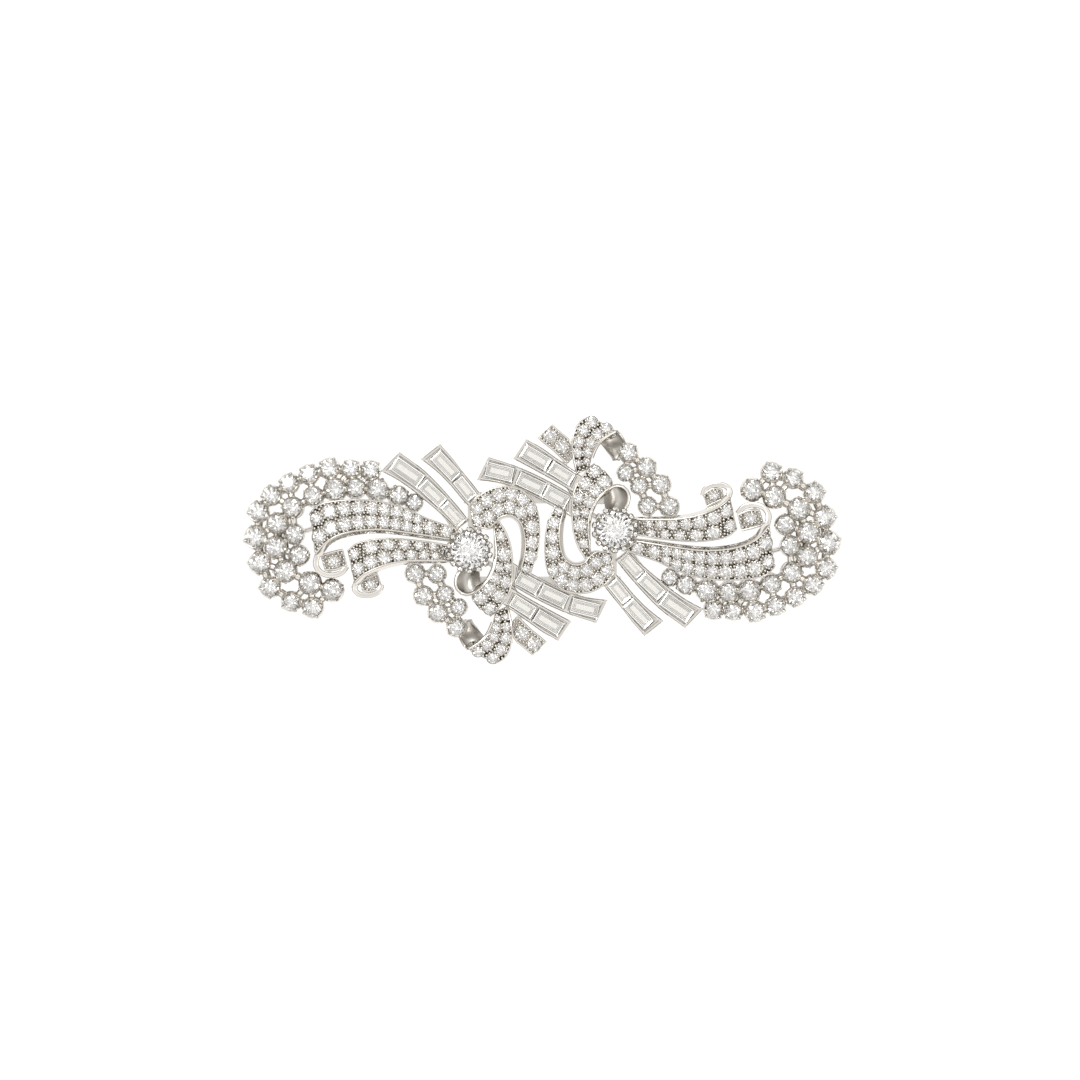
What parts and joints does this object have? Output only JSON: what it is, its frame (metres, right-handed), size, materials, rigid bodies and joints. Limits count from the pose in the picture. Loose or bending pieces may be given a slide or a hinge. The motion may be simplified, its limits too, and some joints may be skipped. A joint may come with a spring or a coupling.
{
  "type": "double clip brooch",
  "caption": "Double clip brooch: two spray-shaped clips set with round and step cut stones, side by side on a pin frame, to wear as one brooch.",
  "frame": {"origin": "middle of the bounding box's bottom, where the brooch's back rests on a surface", "axes": "+X along the brooch to the right of the front view, +Y to the top of the front view, +Z out of the brooch's front"},
  "size_m": [0.0894, 0.0374, 0.0111],
  "materials": {
    "platinum": "polished white metal, bright on the edges",
    "diamond": "cut and polished colourless stone"
  },
  "bodies": {
    "root": {"clip_frame_left": "platinum", "clip_frame_right": "platinum", "centre_stone_left": "diamond", "centre_stone_right": "diamond", "baguette_left_1": "diamond", "baguette_left_2": "diamond", "baguette_left_3": "diamond", "baguette_left_4": "diamond", "baguette_left_5": "diamond", "baguette_left_6": "diamond", "baguette_left_7": "diamond", "baguette_left_8": "diamond", "baguette_left_9": "diamond", "baguette_left_10": "diamond", "baguette_right_1": "diamond", "baguette_right_2": "diamond", "baguette_right_3": "diamond", "baguette_right_4": "diamond", "baguette_right_5": "diamond", "baguette_right_6": "diamond", "baguette_right_7": "diamond", "baguette_right_8": "diamond", "baguette_right_9": "diamond", "baguette_right_10": "diamond", "cluster_stones_left": "diamond", "cluster_stones_right": "diamond", "fan_stones_left": "diamond", "fan_stones_right": "diamond", "ribbon_stones_left": "diamond", "ribbon_stones_right": "diamond", "loop_stones_left": "diamond", "loop_stones_right": "diamond", "pin_frame": "platinum"}
  },
  "joints": []
}
